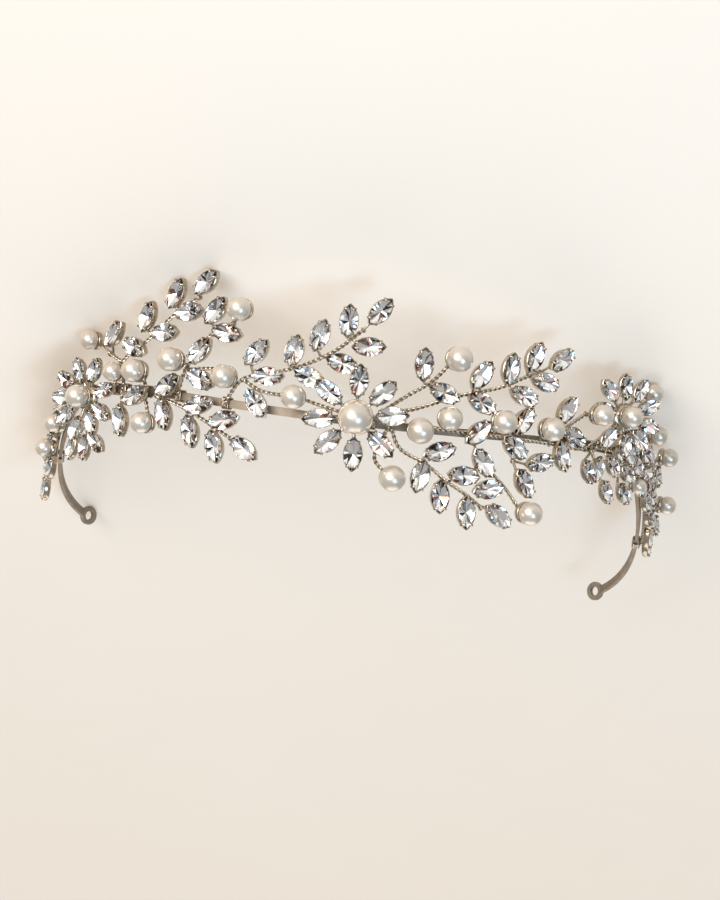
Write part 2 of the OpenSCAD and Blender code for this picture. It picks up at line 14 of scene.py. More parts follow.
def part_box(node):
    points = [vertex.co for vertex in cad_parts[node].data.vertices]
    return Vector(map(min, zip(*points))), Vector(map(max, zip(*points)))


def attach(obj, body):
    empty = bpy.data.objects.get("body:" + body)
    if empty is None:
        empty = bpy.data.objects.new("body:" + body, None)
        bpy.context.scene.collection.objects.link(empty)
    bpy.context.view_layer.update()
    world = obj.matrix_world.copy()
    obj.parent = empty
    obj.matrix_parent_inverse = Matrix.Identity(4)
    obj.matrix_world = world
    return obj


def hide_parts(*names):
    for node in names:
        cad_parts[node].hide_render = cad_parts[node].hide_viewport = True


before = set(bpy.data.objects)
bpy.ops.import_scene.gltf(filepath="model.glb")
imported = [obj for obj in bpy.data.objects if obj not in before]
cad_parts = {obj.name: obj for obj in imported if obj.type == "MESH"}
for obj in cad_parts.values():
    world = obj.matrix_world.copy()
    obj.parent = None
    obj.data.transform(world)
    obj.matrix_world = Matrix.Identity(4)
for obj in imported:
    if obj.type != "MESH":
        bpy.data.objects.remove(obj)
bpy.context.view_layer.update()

# ---- the upright hoop, and how it lies ---------------------------------------------------
HOOP_R, BAND_T = 81.0, 1.0
FACE_R = HOOP_R + BAND_T / 2
# side view of the strip: depth behind the front, slope of the left arm, slope of the right arm
BENDS = [(-1, 7, 7), (35, -5, -5), (55, -38, -42), (110, -18, -19)]
LEFT, RIGHT = 1, 2
LEAN, TILT, MOVE = -32.78, 2.88, np.array([2.76, -47.72, 34.66])
UP = np.array([0, 0, 1.0])


def turn_x(a):
    c, s = math.cos(math.radians(a)), math.sin(math.radians(a))
    return np.array([[1, 0, 0], [0, c, -s], [0, s, c]])


def turn_y(a):
    c, s = math.cos(math.radians(a)), math.sin(math.radians(a))
    return np.array([[c, 0, s], [0, 1, 0], [-s, 0, c]])


LAY = turn_y(TILT) @ turn_x(LEAN) @ turn_y(180)


def lay_down(points):
    """From the upright hoop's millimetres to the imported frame's metres."""
    return (np.atleast_2d(points) @ LAY.T + MOVE) / 1000


def stand_up(points):
    return (np.atleast_2d(points) * 1000 - MOVE) @ LAY


def unit(v):
    v = np.asarray(v, float)
    return v / np.linalg.norm(v)


def on_wall(turn, rise, out):
    t = math.radians(turn)
    return np.array([(FACE_R + out) * math.sin(t), HOOP_R - (FACE_R + out) * math.cos(t), rise])


def outward(turn):
    t = math.radians(turn)
    return np.array([math.sin(t), -math.cos(t), 0.0])


def across(turn):
    t = math.radians(turn)
    return np.array([math.cos(t), math.sin(t), 0.0])


def arm_arcs(side):
    """The arcs of one arm's side view: start and end of each, radius, sine and height at its start."""
    rows, height, arcs = [(r[0], math.radians(r[side])) for r in BENDS], 0.0, []
    for (start, a), (end, b) in zip(rows, rows[1:]):
        r = (end - start) / (math.sin(a) - math.sin(b))
        arcs.append((start, end, r, math.sin(a), height))
        height += r * (math.cos(b) - math.cos(a))
    return arcs


ARCS = {LEFT: arm_arcs(LEFT), RIGHT: arm_arcs(RIGHT)}


def height_and_sine(depth, side):
    arcs = ARCS[side]
    start, _, r, first, height = next((arc for arc in arcs if depth < arc[1]), arcs[-1])
    s = first - (depth - start) / r
    return height + r * (math.sqrt(1 - s * s) - math.sqrt(1 - first * first)), s


def strip_at(turn):
    return height_and_sine(HOOP_R * (1 - math.cos(math.radians(turn))), LEFT if turn < 0 else RIGHT)


def strip_rise(turn):
    return strip_at(turn)[0] - height_and_sine(0, LEFT)[0]


def strip_slope(turn):
    s = strip_at(turn)[1]
    return math.atan(s / math.sqrt(1 - s * s) * math.sin(math.radians(turn)))


# ---- a mesh under construction -----------------------------------------------------------
class Build:
    """Points and faces of one piece. Each face has its shading, material slot and glint pick, the number
    that picks a painted glint on a stone's back.
    """

    def __init__(self):
        self.points, self.faces, self.smooth, self.slot, self.glint_pick = [], [], [], [], []

    def face(self, corners, smooth=True, slot=0, glint_pick=0.0):
        self.faces.append(corners)
        self.smooth.append(smooth)
        self.slot.append(slot)
        self.glint_pick.append(glint_pick)

    def strip(self, rows, loop=False):
        """A skin over rows of points, each row as long as the next. Returns its first point."""
        first, n = len(self.points), len(rows[0])
        self.points.extend(p for row in rows for p in row)
        for i in range(len(rows) - 1):
            low, high = first + i * n, first + (i + 1) * n
            for k in range(n if loop else n - 1):
                m = (k + 1) % n
                self.face([low + k, low + m, high + m, high + k])
        return first

    def flat(self, points, slot=0, glint_pick=0.0):
        """One flat face."""
        first = len(self.points)
        self.points.extend(points)
        self.face(list(range(first, len(self.points))), False, slot, glint_pick)

    def piece(self, name, materials, node, with_glints=False):
        """Lays the mesh down as the piece that takes the place of a CAD node."""
        mesh = bpy.data.meshes.new(name)
        mesh.from_pydata(lay_down(np.array(self.points)).tolist(), [], self.faces)
        mesh.polygons.foreach_set("use_smooth", self.smooth)
        mesh.polygons.foreach_set("material_index", self.slot)
        # the numbers that pick the painted reflections and glints on a stone's back
        if with_glints:
            mesh.attributes.new("facet", "FLOAT", "FACE").data.foreach_set("value", self.glint_pick)
        mesh.update()
        made = bpy.data.objects.new(name, mesh)
        bpy.context.scene.collection.objects.link(made)
        for m in materials:
            mesh.materials.append(m)
        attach(made, "root")
        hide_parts(node)


def ring_frame(axis):
    """Two directions square to an axis."""
    axis = unit(axis)
    side = unit(np.cross(axis, UP if abs(axis[2]) < 0.9 else [1.0, 0, 0]))
    return side, np.cross(axis, side)


def circle(centre, side, up, radius, sides):
    angles = np.arange(sides) * 2 * math.pi / sides
    return [centre + (side * math.cos(a) + up * math.sin(a)) * radius for a in angles]


def along(path):
    """Each point of a path with its number, its direction and two sides that don't spin round it."""
    side, last = None, len(path) - 1
    for i, p in enumerate(path):
        t = unit(path[min(i + 1, last)] - path[max(i - 1, 0)])
        side = ring_frame(t)[0] if side is None else unit(side - t * np.dot(side, t))
        yield i, p, t, side, np.cross(t, side)


# the domed end of a wire: how far it stands out and how wide it is there, in shares of the radius
DOME = [(0.9, 0.35), (0.55, 0.8)]


def tube(build, path, radius, sides=8):
    """A round wire along a path. Its radius is one number, or a list with one for each point."""
    path = [np.asarray(p, float) for p in path]
    radii = radius if isinstance(radius, list) else [radius] * len(path)
    rows = []
    for i, p, t, side, up in along(path):
        r = radii[i]
        if i == 0:
            rows += [circle(p - t * r * out, side, up, r * share, sides) for out, share in DOME]
        rows.append(circle(p, side, up, r, sides))
        if i == len(path) - 1:
            rows += [circle(p + t * r * out, side, up, r * share, sides) for out, share in DOME[::-1]]
    first = build.strip(rows, loop=True)
    final = first + (len(rows) - 1) * sides
    build.face([first + k for k in range(sides - 1, -1, -1)])
    build.face([final + k for k in range(sides)])


LATHE_SIDES, NEAR_AXIS = 40, 0.01


def lathe(build, origin, x, y, n, profile):
    """Turns a profile of (radius, height) round n; a None in it starts a new edge."""
    run = []
    for row in list(profile) + [None]:
        if row is not None:
            run.append(row)
            continue
        if len(run) > 1:
            build.strip([circle(origin + h * n, x, y, r, LATHE_SIDES) for r, h in run], loop=True)
        run = run[-1:]


# ---- wires -------------------------------------------------------------------------------
PATH_STEP, ROD_STEP, SHORTEST_ROD = 0.35, 0.4, 0.25
STALK_R, SPOKE_R, POST_R = 0.34, 0.4, 0.62
STRAND_R, STRAND_OUT, PITCH, STRAND_SIDES, NEXT_PHASE = 0.28, 0.28, 2.6, 7, 1.3


def smooth_path(spots):
    """A curve through the spots, in even steps."""
    if len(spots) < 3:
        n = max(2, int(np.linalg.norm(spots[1] - spots[0]) / PATH_STEP))
        return [spots[0] + (spots[1] - spots[0]) * k / n for k in range(n + 1)]
    p = [2 * spots[0] - spots[1]] + spots + [2 * spots[-1] - spots[-2]]
    path = []
    for a, b, c, d in zip(p, p[1:], p[2:], p[3:]):
        before, here, after = np.linalg.norm(b - a), np.linalg.norm(c - b), np.linalg.norm(d - c)
        leave, arrive = (c - a) * here / (here + before), (d - b) * here / (here + after)
        n = max(2, int(here / PATH_STEP))
        for t in (k / n for k in range(n)):
            path.append((2 * t ** 3 - 3 * t ** 2 + 1) * b + (t ** 3 - 2 * t ** 2 + t) * leave
                        + (3 * t ** 2 - 2 * t ** 3) * c + (t ** 3 - t ** 2) * arrive)
    return path + [spots[-1]]


def twist(build, path, phase):
    """Two strands wound round each other along a path."""
    strands, length = ([], []), 0.0
    for i, p, _, side, up in along(path):
        length += np.linalg.norm(p - path[i - 1]) if i else 0
        for k, strand in enumerate(strands):
            a = 2 * math.pi * length / PITCH + k * math.pi + phase
            strand.append(p + STRAND_OUT * (math.cos(a) * side + math.sin(a) * up))
    for strand in strands:
        tube(build, strand, STRAND_R, STRAND_SIDES)


COIL_R, COIL_STRAND, COIL_PITCH, COIL_TURNS, COIL_STEPS, COIL_SIDES = 0.62, 0.2, 0.42, 1.6, 12, 6


def coil(build, centre, axis):
    """Fine wire wound round the end of a twisted one."""
    side, up = ring_frame(axis)
    path = []
    for k in range(int(COIL_TURNS * COIL_STEPS) + 1):
        a = 2 * math.pi * k / COIL_STEPS
        shift = COIL_PITCH * (k / COIL_STEPS - COIL_TURNS / 2)
        path.append(centre + COIL_R * (math.cos(a) * side + math.sin(a) * up) + unit(axis) * shift)
    tube(build, path, COIL_STRAND, COIL_SIDES)


# half of the sleeve's height and thickness at the middle of its wire, and the radius of its corners
SLEEVE_Y, SLEEVE_N, SLEEVE_CORNER = 1.42, 0.92, 0.35
SLEEVE_STRAND, SLEEVE_PITCH, SLEEVE_TURNS, SLEEVE_SIDES = 0.23, 0.48, 4, 7


def sleeve(build, turn):
    """A wire wound round the strip, turn by turn."""
    centre = on_wall(turn, strip_rise(turn), -BAND_T / 2)
    n, slope = outward(turn), strip_slope(turn)
    x = math.cos(slope) * across(turn) + math.sin(slope) * UP
    y = np.cross(n, x)
    outline = []
    for side_y, side_n, start in ((1, 1, 0), (-1, 1, 90), (-1, -1, 180), (1, -1, 270)):
        for a in (math.radians(start + step) for step in (0, 45, 90)):
            outline.append((side_y * (SLEEVE_Y - SLEEVE_CORNER) + SLEEVE_CORNER * math.cos(a),
                            side_n * (SLEEVE_N - SLEEVE_CORNER) + SLEEVE_CORNER * math.sin(a)))
    path = []
    for k in range(SLEEVE_TURNS * len(outline) + 1):
        at_y, at_n = outline[k % len(outline)]
        shift = (k / len(outline) - SLEEVE_TURNS / 2) * SLEEVE_PITCH
        path.append(centre + shift * x + at_y * y + at_n * n)
    tube(build, path, SLEEVE_STRAND, SLEEVE_SIDES)


def twisted_wires(build, rows):
    """The twisted wires of a group, each bound at both ends. Returns their paths."""
    wires = [[on_wall(*place) for place in row] for row in rows]
    paths = [smooth_path(spots) for spots in wires]
    for i, path in enumerate(paths):
        twist(build, path, NEXT_PHASE * i)
    for spots in wires:
        coil(build, spots[0], spots[1] - spots[0])
        coil(build, spots[-1], spots[-1] - spots[-2])
    return paths


def nearest(p, paths):
    return min((q for path in paths for q in path), key=lambda q: np.linalg.norm(q - p))


def link(build, start, end, radius):
    """A straight rod, left out where the two ends all but meet."""
    d = np.linalg.norm(end - start)
    if d > SHORTEST_ROD:
        n = max(2, int(d / ROD_STEP))
        tube(build, [start + (end - start) * k / n for k in range(n + 1)], radius)


# ---- stones and settings -----------------------------------------------------------------
# as in the source: a large setting's length, width and height, its floor's thickness, the crown's
# height over the wall and the gap between floor and stone; a small setting is the same, scaled
SET_L, SET_W, SET_H, FLOOR_H, CROWN_H, BASE_GAP = 8.8, 4.9, 2.2, 0.4, 0.6, 0.15


def loose_solids(node):
    """The corners of each loose solid of a CAD node, in the upright frame."""
    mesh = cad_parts[node].data
    number = {}
    index = [number.setdefault(tuple(p), len(number)) for p in np.round([v.co for v in mesh.vertices], 6)]
    home = list(range(len(number)))

    def root(i):
        while home[i] != i:
            home[i] = home[home[i]]
            i = home[i]
        return i

    for f in mesh.polygons:
        first = root(index[f.vertices[0]])
        for v in f.vertices[1:]:
            home[root(index[v])] = first
    points, solids = stand_up(np.array(list(number))), {}
    for i in range(len(points)):
        solids.setdefault(root(i), []).append(i)
    return [points[members] for members in solids.values()]


def seats_of(node):
    """Where each stone of a CAD node sits: middle of its setting's back, axes x, y and n, and size.

    A stone is longest along x. Its girdle lies nearer to the table than to the base, so its corners
    are skewed along n, the axis from base to table, and that tells n from y.
    """
    seats = []
    for p in loose_solids(node):
        centre = p.mean(0)
        vectors = np.linalg.eigh(np.cov((p - centre).T))[1]
        x = vectors[:, 2]
        n = max((vectors[:, 0], vectors[:, 1]), key=lambda v: abs((((p - centre) @ v) ** 3).mean()))
        h = np.sort((p - centre) @ n)
        base, girdle, table = h[0], h[len(h) // 2], h[-1]
        if table - girdle > girdle - base:
            n, base, table = -n, -table, -base
        size = (table - base) / (SET_H + CROWN_H - FLOOR_H - BASE_GAP)
        u = (p - centre) @ x
        back = centre + n * (base - (FLOOR_H + BASE_GAP) * size) + x * (u.max() + u.min()) / 2
        seats.append((back, x, np.cross(n, x), n, size))
    return sorted(seats, key=lambda seat: tuple(np.round(seat[0], 2)))


def boat(half_l, half_w, k, n):
    """A corner of a boat's outline, k of n steps round it from one tip."""
    a = 2 * math.pi * k / n
    r = (half_l ** 2 + half_w ** 2) / (2 * half_w)
    u = half_l * math.cos(a)
    v = math.sqrt(max(r * r - u * u, 0)) - (r - half_w)
    return u, v if math.sin(a) > 1e-9 else (-v if math.sin(a) < -1e-9 else 0.0)


def placer(seat):
    """Turns a place in a setting's own axes into a point."""
    o, x, y, n, size = seat
    return lambda u, v, h: o + (u * x + v * y + h * n) * size


RIM = 24
# outlines of a setting: share of its length and width, inset at the tips and the sides, height
OUTSIDE = [(0.86, 0, 0, 0), (0.95, 0, 0, 0.25), (1, 0, 0, 1.1), (1, 0, 0, 1.85)]
EDGE = [(1, 0, 0, 1.85), (1, 0.192, 0.12, 1.98)]
INSIDE = [(1, 0.192, 0.12, 1.98), (1, 0.576, 0.36, 1.98), (1, 0.576, 0.36, 0.5)]
FLOOR_OUTLINE = (1, 0.6, 0.36, 0.5)
# a claw: how far it leans in, its height and its radius
CLAW = [(0, 1.0, 0.24), (0, 1.9, 0.3), (0.08, 2.25, 0.33), (0.36, 2.5, 0.32), (0.62, 2.6, 0.28)]
# its place as a share of the setting's length, and how much less it leans that way than across
CLAW_AT, CLAW_LEAN = 0.355, 0.25


def setting(build, seat):
    """Boat-shaped wall, its floor, and four claws that bend over the stone."""
    put = placer(seat)

    def corner(outline, k):
        share, tip, side, h = outline
        return put(*boat(SET_L / 2 * share - tip, SET_W / 2 * share - side, k, RIM), h)

    for start in (0, RIM // 2):
        for skin in (OUTSIDE, EDGE, INSIDE):
            build.strip([[corner(outline, start + k) for k in range(RIM // 2 + 1)] for outline in skin])
    build.flat([corner(OUTSIDE[0], k) for k in range(RIM - 1, -1, -1)])
    build.flat([corner(FLOOR_OUTLINE, k) for k in range(RIM)])
    r = (SET_L ** 2 + SET_W ** 2) / (4 * SET_W)
    u = SET_L * CLAW_AT
    v = math.sqrt(r * r - u * u) - (r - SET_W / 2)
    radii = [radius * seat[-1] for _, _, radius in CLAW]
    for side_u, side_v in ((-1, -1), (-1, 1), (1, -1), (1, 1)):
        in_u, in_v = unit([-side_u * u * CLAW_LEAN, -side_v * v])
        path = [put(side_u * u + in_u * lean, side_v * v + in_v * lean, h) for lean, h, _ in CLAW]
        tube(build, path, radii)


CLEAR, SILVER = 0, 1
GLINT_DRAW = random.Random(41)
STONE_SIDES, TIP_CLEAR, SIDE_CLEAR = 16, 0.22, 0.14
# rings of a stone: share of its length, share of its width, height
GIRDLE, STARS, TABLE, KEEL = (1, 1, 2.06), (0.82, 0.78, 2.46), (0.6, 0.52, 2.72), (0.52, 0.5, 1.5)
CULET_H, MIDDLE_H = 0.95, 1.7


def stone(build, seat):
    """A cut stone: clear crown of table, stars, kites and girdle facets over a silvered back, whose
    facets carry painted reflections and glints.
    """
    put = placer(seat)
    outline = [boat(SET_L / 2 - TIP_CLEAR, SET_W / 2 - SIDE_CLEAR, k, STONE_SIDES)
               for k in range(STONE_SIDES)]
    girdle, stars, table, keel = [[put(u * share_u, v * share_v, h) for u, v in outline]
                                  for share_u, share_v, h in (GIRDLE, STARS, TABLE, KEEL)]
    culet, middle = put(0, 0, CULET_H), put(0, 0, MIDDLE_H)

    def facet(points, slot, glint_pick=0.0):
        normal = np.cross(points[1] - points[0], points[2] - points[0])
        inwards = np.dot(normal, sum(points) / len(points) - middle) < 0
        build.flat(points[::-1] if inwards else points, slot, glint_pick)

    facet(table[::2], CLEAR)
    for a in range(0, STONE_SIDES, 2):
        b, c = a + 1, (a + 2) % STONE_SIDES
        for points in ([table[a], table[c], stars[b]], [table[a], stars[b], girdle[a]],
                       [table[c], stars[b], girdle[c]], [stars[b], girdle[a], girdle[b]],
                       [stars[b], girdle[b], girdle[c]]):
            facet(points, CLEAR)
        for points in ([keel[b], girdle[a], girdle[b]], [keel[b], girdle[b], girdle[c]],
                       [culet, keel[b], girdle[a]], [culet, keel[b], girdle[c]]):
            # each facet of the back draws the number that picks its colour from the foil's white and the
            # painted glints
            facet(points, SILVER, GLINT_DRAW.random())


STALK_AT, STALK_LIFT = 0.36, 0.05


def stalk(build, seat, paths):
    """The short wire from a setting's inner end to the wire that carries it."""
    o, x, _, n, size = seat
    ends = [o + side * STALK_AT * SET_L * size * x + STALK_LIFT * n for side in (1, -1)]
    end = min(ends, key=lambda e: np.linalg.norm(e - nearest(e, paths)))
    link(build, end, nearest(end, paths), STALK_R)


# ---- pearls ------------------------------------------------------------------------------
# the turn that a flower's pearl faces; the others face straight out from where they are
FLOWER_PEARLS = {"pearl_centre": -0.5, "pearl_left_flower": -33, "pearl_right_flower": 26}
CUP_BACK, CUP_GAP, CUP_SHARE, CUP_STEPS, CUP_LIFT = 0.6, 0.1, 0.3, 8, 0.1
# outside of a cup, measured out from the rim: the foot (a share of the rim), the flare (out, height),
# the belly (out, share of the height) and the rolled edge (out, over the top)
CUP_FOOT, CUP_FLARE, CUP_BELLY = 0.8, (0.12, 0.3), (0.3, 0.45)
CUP_EDGE = [(0.34, -0.18), (0.28, -0.03), (0.14, 0.02)]
PEARL_ROWS, PEARL_SIDES = 24, 40


def pearl_seat(name):
    """Centre, radius and axes of a pearl, from its CAD solid."""
    low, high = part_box(name)
    centre = stand_up(np.array((low + high) / 2))[0]
    turn = FLOWER_PEARLS.get(name, math.degrees(math.atan2(centre[0], HOOP_R - centre[1])))
    n, x = outward(turn), across(turn)
    return centre, (high - low).x * 500, x, np.cross(n, x), n


def pearl_cup(build, name):
    """A round cup with a rolled rim under a pearl. Returns the middle of its back."""
    centre, r, x, y, n = pearl_seat(name)
    h, hollow = 2 * CUP_SHARE * r, r + CUP_GAP

    def reach(z):
        return math.sqrt(max(hollow ** 2 - (CUP_BACK + r - z) ** 2, 0))

    rim, back = reach(h), centre - n * (r + CUP_BACK)
    base = [(NEAR_AXIS, 0), (rim * CUP_FOOT, 0), (rim + CUP_FLARE[0], CUP_FLARE[1])]
    wall = [(rim + CUP_BELLY[0], h * CUP_BELLY[1])] + [(rim + out, h + over) for out, over in CUP_EDGE]
    inner = [(reach(z), z) for z in np.linspace(h, CUP_BACK - CUP_GAP, CUP_STEPS)]
    lathe(build, back, x, y, n, base + [None] + wall + [inner[0], None] + inner[1:])
    return back


def held_pearl(build, name, paths):
    """A pearl's cup and the short wire that carries it."""
    back = pearl_cup(build, name)
    link(build, back + CUP_LIFT * pearl_seat(name)[-1], nearest(back, paths), STALK_R)


def bead(name):
    centre, r, x, y, n = pearl_seat(name)
    build = Build()
    build.strip([circle(centre - math.cos(a) * r * n, x, y, math.sin(a) * r, PEARL_SIDES)
                 for a in np.arange(PEARL_ROWS + 1) * math.pi / PEARL_ROWS], loop=True)
    build.piece(name + "_bead", [PEARL], name)


# ---- the groups --------------------------------------------------------------------------
def strip_wire(start, end, step):
    """A wire that follows the strip from one turn to another."""
    return [(t, strip_rise(t), 1.0) for t in np.arange(start, end + 0.01 * np.sign(step), step)]


# sprigs, trails and tails: wires as rows of (turn, rise, out), turns of the sleeves, pearls
GROUPS = {
    "top_sprig": ([
        [(-24.0, 0.8, 1.0), (-21.0, 7.0, 1.4), (-14.5, 10.0, 1.4), (-10.5, 12.2, 1.4),
         (-5.5, 16.5, 1.4), (-1.0, 22.6, 1.4)],
        [(-21.0, 7.0, 1.4), (-17.0, 4.6, 1.4), (-11.0, 4.2, 1.4), (-7.0, 3.0, 1.8), (-2.0, 1.6, 3.2)]],
        [-24], ["pearl_by_flower"]),
    "left_high_sprig": ([
        [(-51.0, 0.0, 1.0), (-48.5, 8.0, 1.4), (-42.0, 14.4, 1.4), (-37.0, 20.6, 1.4),
         (-31.5, 26.2, 1.4)],
        [(-48.5, 8.0, 1.4), (-52.5, 9.8, 1.4)]], [-51], ["pearl_far_left_high"]),
    "left_mid_sprig": ([
        [(-34.0, 0.6, 1.0), (-32.5, 7.8, 1.4), (-28.2, 17.0, 1.4), (-24.0, 20.6, 1.4)],
        [(-32.5, 7.8, 1.4), (-26.0, 8.8, 1.4), (-23.4, 7.2, 1.4)]], [-34],
        ["pearl_left_high", "pearl_left_band", "pearl_left_knot"]),
    "left_low_sprig": ([
        [(-38.5, 0.4, 1.0), (-35.0, -0.6, 1.4), (-31.0, -2.2, 1.4), (-26.0, -5.2, 1.4),
         (-21.8, -8.0, 1.4)]], [-38.5], []),
    "left_trail": ([
        [(-48.0, 0.2, 1.0), (-41.5, 0.2, 1.0), (-41.2, 5.4, 2.8)],
        [(-48.0, 0.2, 1.0), (-46.5, -6.0, 1.4)],
        [(-41.5, 0.2, 1.0), (-39.5, -6.0, 1.4)],
        [(-48.0, 0.2, 1.0), (-47.3, 5.2, 1.4)]], [-48, -42],
        ["pearl_left_trail_outer", "pearl_left_trail_inner", "pearl_left_low"]),
    "left_tail": ([strip_wire(-60, -84, -4), [(-60.0, -0.6, 1.0), (-58.5, -10.0, 1.4)]], [-60, -84],
                  ["pearl_left_tail_upper", "pearl_left_tail_lower"]),
    "right_high_sprig": ([
        [(2.5, 0.4, 1.0), (4.0, 3.4, 1.4), (8.4, 4.4, 1.4), (12.5, 6.8, 1.4), (17.2, 9.6, 1.4),
         (24.3, 12.8, 1.4), (28.5, 15.8, 1.4), (32.0, 18.0, 1.4)],
        [(4.0, 3.4, 1.4), (7.3, 7.3, 1.4), (11.9, 12.3, 1.4), (15.3, 18.4, 1.4)]], [2.5],
        ["pearl_right_high"]),
    "right_low_sprig": ([
        [(5.5, 0.4, 1.0), (7.6, -5.2, 1.4), (12.5, -8.4, 1.4), (16.5, -12.0, 1.4), (20.4, -14.8, 1.4),
         (23.5, -17.5, 1.4)],
        [(5.5, 0.4, 1.0), (3.5, -8.2, 1.4), (6.6, -12.7, 1.4)],
        [(16.5, -12.0, 1.4), (21.5, -8.2, 1.0), (25.5, -9.4, 1.0), (31.6, -17.5, 1.4)]], [5.5],
        ["pearl_below_flower", "pearl_right_low"]),
    "right_trail": ([
        [(10.2, 0.6, 1.0), (18.0, 0.7, 1.0), (26.5, 0.7, 1.0), (36.0, 0.4, 1.0), (43.0, 0.2, 1.0)],
        [(36.0, 0.4, 1.0), (39.0, 4.5, 1.2), (44.1, 9.2, 1.4)],
        [(26.5, 0.7, 1.0), (28.8, -5.0, 1.0)]], [10.2, 43],
        ["pearl_right_band_1", "pearl_right_band_2", "pearl_right_band_3", "pearl_right_band_4",
         "pearl_right_trail"]),
    "right_tail": ([strip_wire(48, 86, 4.75), [(47.0, 0.0, 1.0), (50.0, -6.0, 1.4)]], [48, 86],
                   ["pearl_right_tail_upper", "pearl_right_tail_middle", "pearl_right_tail_lower",
                    "pearl_right_tail_inner"]),
}
# flowers: the hub as (turn, rise, out), the turn it faces, its plate's radius; then as above
FLOWERS = {
    "centre_flower": ((-0.5, 1.0, 4.6), -0.5, 4.452, [[(-0.5, 0, 1.0), (-0.5, 0.6, 2.4)]], [-0.5],
                      ["pearl_centre"]),
    "left_flower": ((-53.2, -2.2, 6.2), -33, 3.444,
                    [[(-55.5, strip_rise(-55.5), 1.0), (-55.0, -1.2, 2.4)]], [-55.5],
                    ["pearl_left_flower"]),
    "right_flower": ((52.2, 9.9, 4.6), 26, 3.444,
                     [[(45.2, 0.2, 1.0), (50.0, 4.8, 1.8), (53.0, 9.9, 3.0), (61.4, 16.9, 1.8)]],
                     [45.2], ["pearl_right_flower", "pearl_far_right_high"]),
}
SPOKE_IN, SPOKE_DROP, POST_DROP = 0.6, 0.1, 0.3
# a flower's plate: heights of its back and front; its rim as (in from the edge, height); its pedestal
PLATE_BACK, PLATE_FRONT, BACK_IN = -0.35, 0.2, 0.2
PLATE_RIM = [(0, -0.2), (0, 0.05), (0.15, PLATE_FRONT)]
PEDESTAL = [(1.7, PLATE_FRONT), (1.7, 1.0), (1.2, 1.0)]


def sprig(group, rows, sleeves, pearls):
    """The metal of a sprig, trail or tail."""
    build = Build()
    paths = twisted_wires(build, rows)
    for seat in seats_of(group + "_stones"):
        setting(build, seat)
        stalk(build, seat, paths)
    for name in pearls:
        held_pearl(build, name, paths)
    for turn in sleeves:
        sleeve(build, turn)
    build.piece(group + "_frame", [METAL], group + "_metal")


def flower(group, place, face, plate, rows, sleeves, pearls):
    """The metal of a flower: petals on spokes round a plate, which stands on a post over the strip."""
    build = Build()
    hub, n, x = on_wall(*place), outward(face), across(face)
    paths = twisted_wires(build, rows)
    for seat in seats_of(group + "_stones"):
        setting(build, seat)
        o, size = seat[0], seat[-1]
        away = unit(o - hub)
        link(build, hub + (plate - SPOKE_IN) * away - SPOKE_DROP * n,
             o - away * STALK_AT * SET_L * size + STALK_LIFT * n, SPOKE_R)
    back = [(NEAR_AXIS, PLATE_BACK), (plate - BACK_IN, PLATE_BACK)]
    rim = [(plate - inset, h) for inset, h in PLATE_RIM]
    lathe(build, hub, x, np.cross(n, x), n, back + [None] + rim + [None] + PEDESTAL)
    link(build, nearest(hub, paths), hub - POST_DROP * n, POST_R)
    for name in pearls:
        if name in FLOWER_PEARLS:
            pearl_cup(build, name)
        else:
            held_pearl(build, name, paths)
    for turn in sleeves:
        sleeve(build, turn)
    build.piece(group + "_frame", [METAL], group + "_metal")


def gems(group):
    build = Build()
    for seat in seats_of(group + "_stones"):
        stone(build, seat)
    build.piece(group + "_cut_stones", [CRYSTAL, FOIL_WITH_GLINTS], group + "_stones", with_glints=True)


# ---- materials ---------------------------------------------------------------------------
def material(name):
    m = bpy.data.materials.new(name)
    m.use_nodes = True
    return m, m.node_tree, m.node_tree.nodes["Principled BSDF"].inputs


def node(tree, kind, **values):
    made = tree.nodes.new(kind)
    for k, v in values.items():
        setattr(made, k, v)
    return made


def noise(tree, scale, detail=3.0):
    coords = node(tree, "ShaderNodeTexCoord")
    made = node(tree, "ShaderNodeTexNoise")
    made.inputs["Scale"].default_value = scale
    made.inputs["Detail"].default_value = detail
    tree.links.new(coords.outputs["Object"], made.inputs["Vector"])
    return made.outputs["Fac"]


def ramp(tree, amount, stops, mode="LINEAR"):
    made = node(tree, "ShaderNodeValToRGB")
    band = made.color_ramp
    band.interpolation = mode
    while len(band.elements) < len(stops):
        band.elements.new(0.5)
    for e, (at, colour) in zip(band.elements, stops):
        e.position = at
        e.color = (*colour, 1)
    tree.links.new(amount, made.inputs["Fac"])
    return made.outputs["Color"]


def mottled(tree, socket, scale, dark, light, ends=(0.3, 0.7), detail=3.0):
    """A colour that wavers between two."""
    tree.links.new(ramp(tree, noise(tree, scale, detail), list(zip(ends, (dark, light)))), socket)


def spread(tree, socket, scale, low, high):
    """A value that wavers between two."""
    made = node(tree, "ShaderNodeMapRange")
    made.inputs["To Min"].default_value = low
    made.inputs["To Max"].default_value = high
    tree.links.new(noise(tree, scale), made.inputs["Value"])
    tree.links.new(made.outputs["Result"], socket)


def bump(tree, socket, scale, distance, strength):
    made = node(tree, "ShaderNodeBump")
    made.inputs["Distance"].default_value = distance
    made.inputs["Strength"].default_value = strength
    tree.links.new(noise(tree, scale), made.inputs["Height"])
    tree.links.new(made.outputs["Normal"], socket)


def metal_material(name, dark, light, rough, grain):
    m, tree, s = material(name)
    s["Metallic"].default_value = 1
    mottled(tree, s["Base Color"], grain, dark, light)
    spread(tree, s["Roughness"], grain * 2.3, *rough)
    bump(tree, s["Normal"], grain * 4, distance=0.00004, strength=0.3)
    return m


METAL = metal_material("champagne_metal", (0.37, 0.305, 0.23), (0.60, 0.51, 0.40), (0.12, 0.24), 1100)
# the band's metal is darker and browner than the wires': partly its own satin tone, partly painted shade
BAND = metal_material("band_metal", (0.26, 0.21, 0.155), (0.36, 0.295, 0.23), (0.62, 0.70), 350)

